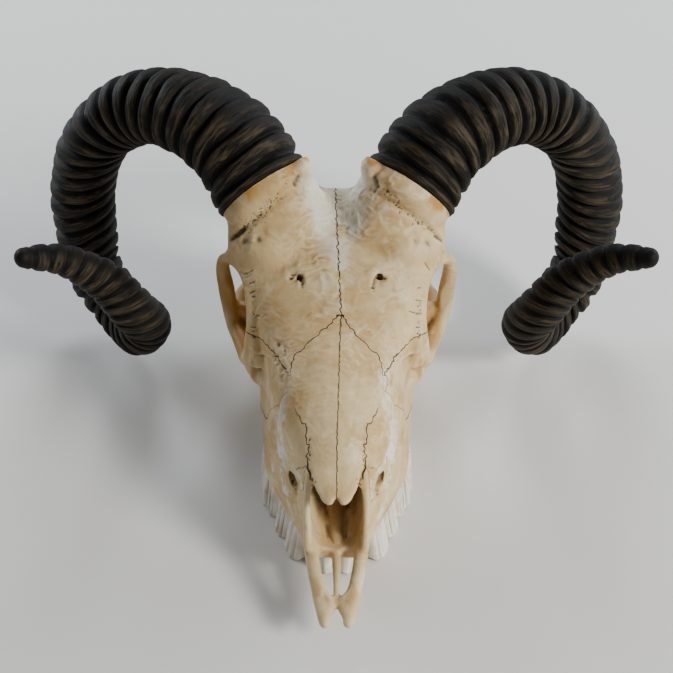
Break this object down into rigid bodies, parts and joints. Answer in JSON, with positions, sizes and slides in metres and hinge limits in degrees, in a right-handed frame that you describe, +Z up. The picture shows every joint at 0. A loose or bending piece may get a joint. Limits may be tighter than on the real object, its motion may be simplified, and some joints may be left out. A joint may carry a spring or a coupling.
{
  "type": "ram skull",
  "caption": "Ram skull without its lower jaw, with ringed horns that curl back, down and forward; it lies on its cheek teeth as a display or study model",
  "frame": {"origin": "centre of the object's box at the surface that the skull rests on", "axes": "+X is the skull's left, the nose points along -Y and +Z is up"},
  "size_m": [0.3586, 0.297, 0.1987],
  "materials": {
    "aged_bone": "dry, matt, ivory bone with brown and amber stains",
    "dark_horn": "dark brown ringed horn with a dull sheen"
  },
  "bodies": {
    "root": {"braincase": "aged_bone", "frontal_left": "aged_bone", "frontal_right": "aged_bone", "nasal_left": "aged_bone", "nasal_right": "aged_bone", "cheek_left": "aged_bone", "cheek_right": "aged_bone", "maxilla_left": "aged_bone", "maxilla_right": "aged_bone", "premaxilla_left": "aged_bone", "premaxilla_right": "aged_bone", "horn_left_1": "dark_horn", "horn_left_2": "dark_horn", "horn_left_3": "dark_horn", "horn_left_4": "dark_horn", "horn_right_1": "dark_horn", "horn_right_2": "dark_horn", "horn_right_3": "dark_horn", "horn_right_4": "dark_horn"}
  },
  "joints": []
}
